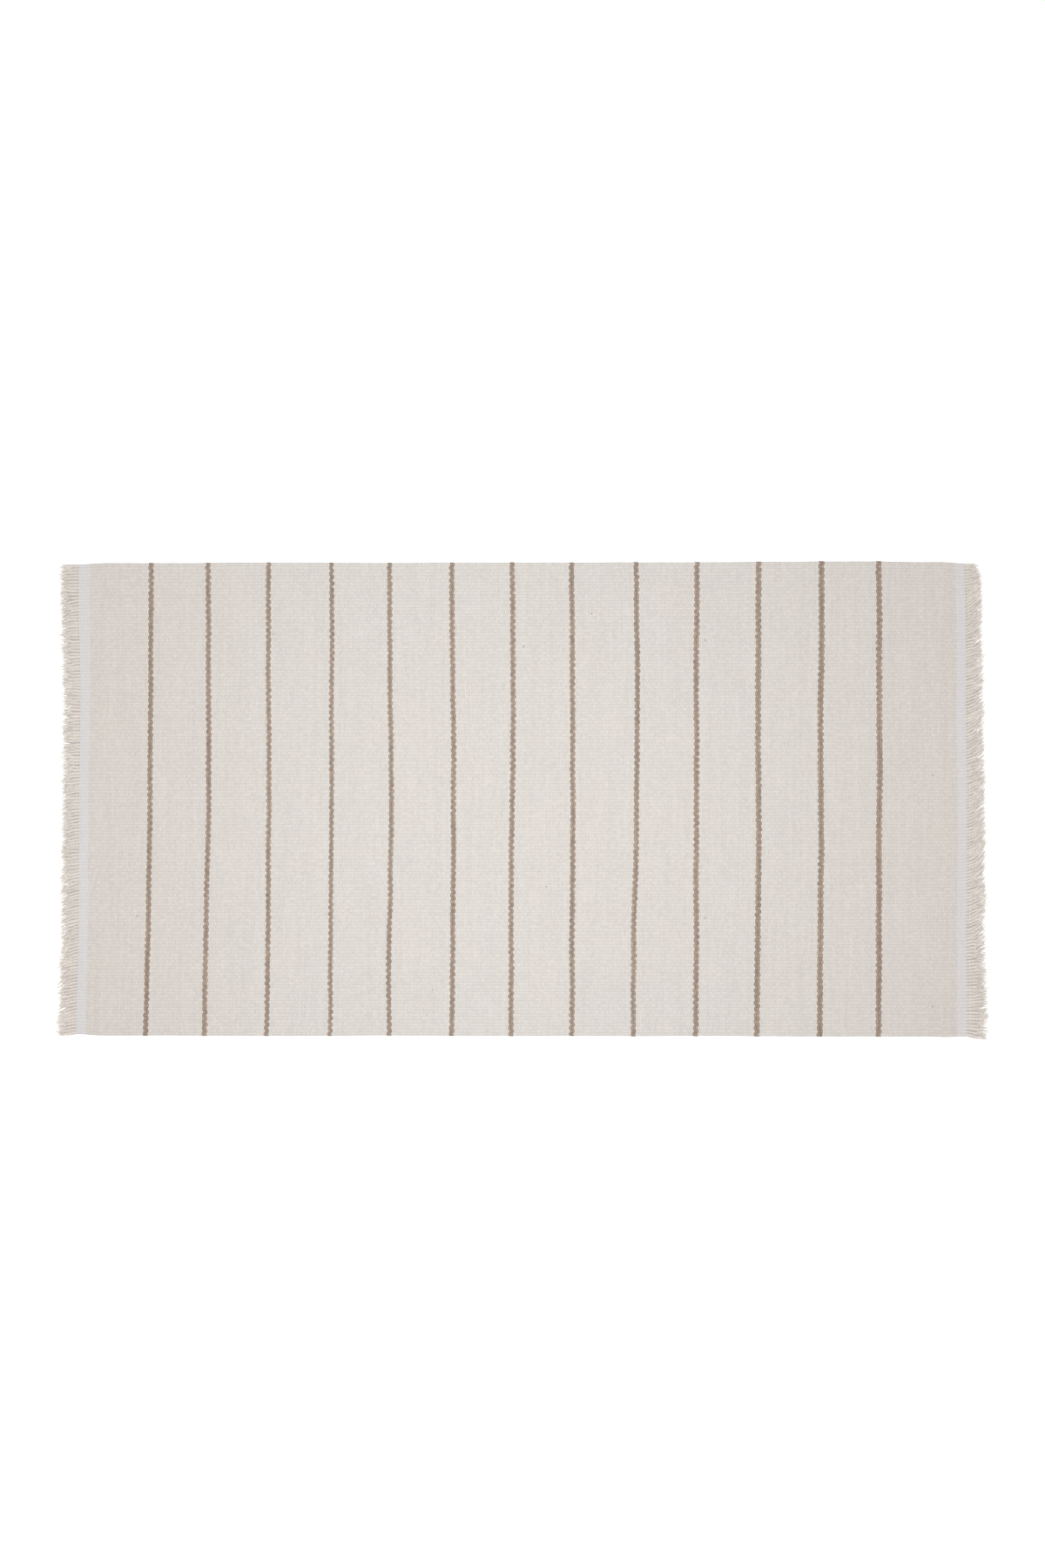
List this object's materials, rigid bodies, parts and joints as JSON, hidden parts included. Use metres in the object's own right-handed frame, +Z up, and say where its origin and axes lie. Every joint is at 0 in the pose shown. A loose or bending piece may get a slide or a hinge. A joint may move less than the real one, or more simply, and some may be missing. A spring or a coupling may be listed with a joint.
{
  "type": "runner rug",
  "caption": "Flat-woven ribbed cotton runner rug in cream with thin brown stripes across it, white header bands and short cut fringes.",
  "frame": {"origin": "centre of the underside, on the surface that the rug lies on", "axes": "+X along the rug, from the fringe beside field_weft_01 to the fringe beside field_weft_14; +Y across the rug, from selvedge to selvedge; +Z up through the pile-free top face"},
  "size_m": [1.558, 0.8, 0.005],
  "materials": {
    "cream_weft": "matt cotton yarn, weft-faced rib weave",
    "brown_weft": "matt cotton yarn, grey-brown",
    "white_header": "fine matt cotton yarn, cool white",
    "warp_fringe": "loose unbleached cotton warp ends"
  },
  "bodies": {
    "root": {"field_weft_01": "cream_weft", "field_weft_02": "cream_weft", "field_weft_03": "cream_weft", "field_weft_04": "cream_weft", "field_weft_05": "cream_weft", "field_weft_06": "cream_weft", "field_weft_07": "cream_weft", "field_weft_08": "cream_weft", "field_weft_09": "cream_weft", "field_weft_10": "cream_weft", "field_weft_11": "cream_weft", "field_weft_12": "cream_weft", "field_weft_13": "cream_weft", "field_weft_14": "cream_weft", "stripe_weft_01": "brown_weft", "stripe_weft_02": "brown_weft", "stripe_weft_03": "brown_weft", "stripe_weft_04": "brown_weft", "stripe_weft_05": "brown_weft", "stripe_weft_06": "brown_weft", "stripe_weft_07": "brown_weft", "stripe_weft_08": "brown_weft", "stripe_weft_09": "brown_weft", "stripe_weft_10": "brown_weft", "stripe_weft_11": "brown_weft", "stripe_weft_12": "brown_weft", "stripe_weft_13": "brown_weft", "header_band_left": "white_header", "header_band_right": "white_header", "fringe_left": "warp_fringe", "fringe_right": "warp_fringe"}
  },
  "joints": []
}
